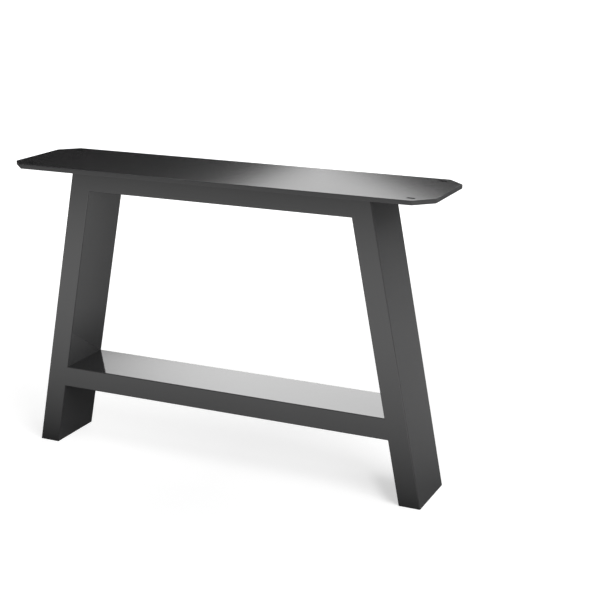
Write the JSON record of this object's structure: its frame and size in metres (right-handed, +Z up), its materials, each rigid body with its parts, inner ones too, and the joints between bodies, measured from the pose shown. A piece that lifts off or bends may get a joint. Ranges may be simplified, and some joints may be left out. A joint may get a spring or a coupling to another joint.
{
  "type": "trestle table leg",
  "caption": "Splayed trestle table leg of welded rectangular steel tube, with a top rail, a low stretcher and a clipped-corner mounting plate slotted for table-top screws.",
  "frame": {"origin": "on the floor, midway between the feet and midway across the trestle", "axes": "+X along the trestle and its plate, +Y across the trestle, +Z up"},
  "size_m": [1.04, 0.25, 0.7],
  "materials": {
    "black_powder_coat": "smooth satin black powder coat over welded steel"
  },
  "bodies": {
    "root": {"top_plate": "black_powder_coat", "plate_weld": "black_powder_coat", "left_leg": "black_powder_coat", "right_leg": "black_powder_coat", "top_rail": "black_powder_coat", "top_rail_seam_welds": "black_powder_coat", "stretcher": "black_powder_coat", "stretcher_seam_welds": "black_powder_coat", "left_foot_plate": "black_powder_coat", "right_foot_plate": "black_powder_coat"}
  },
  "joints": []
}
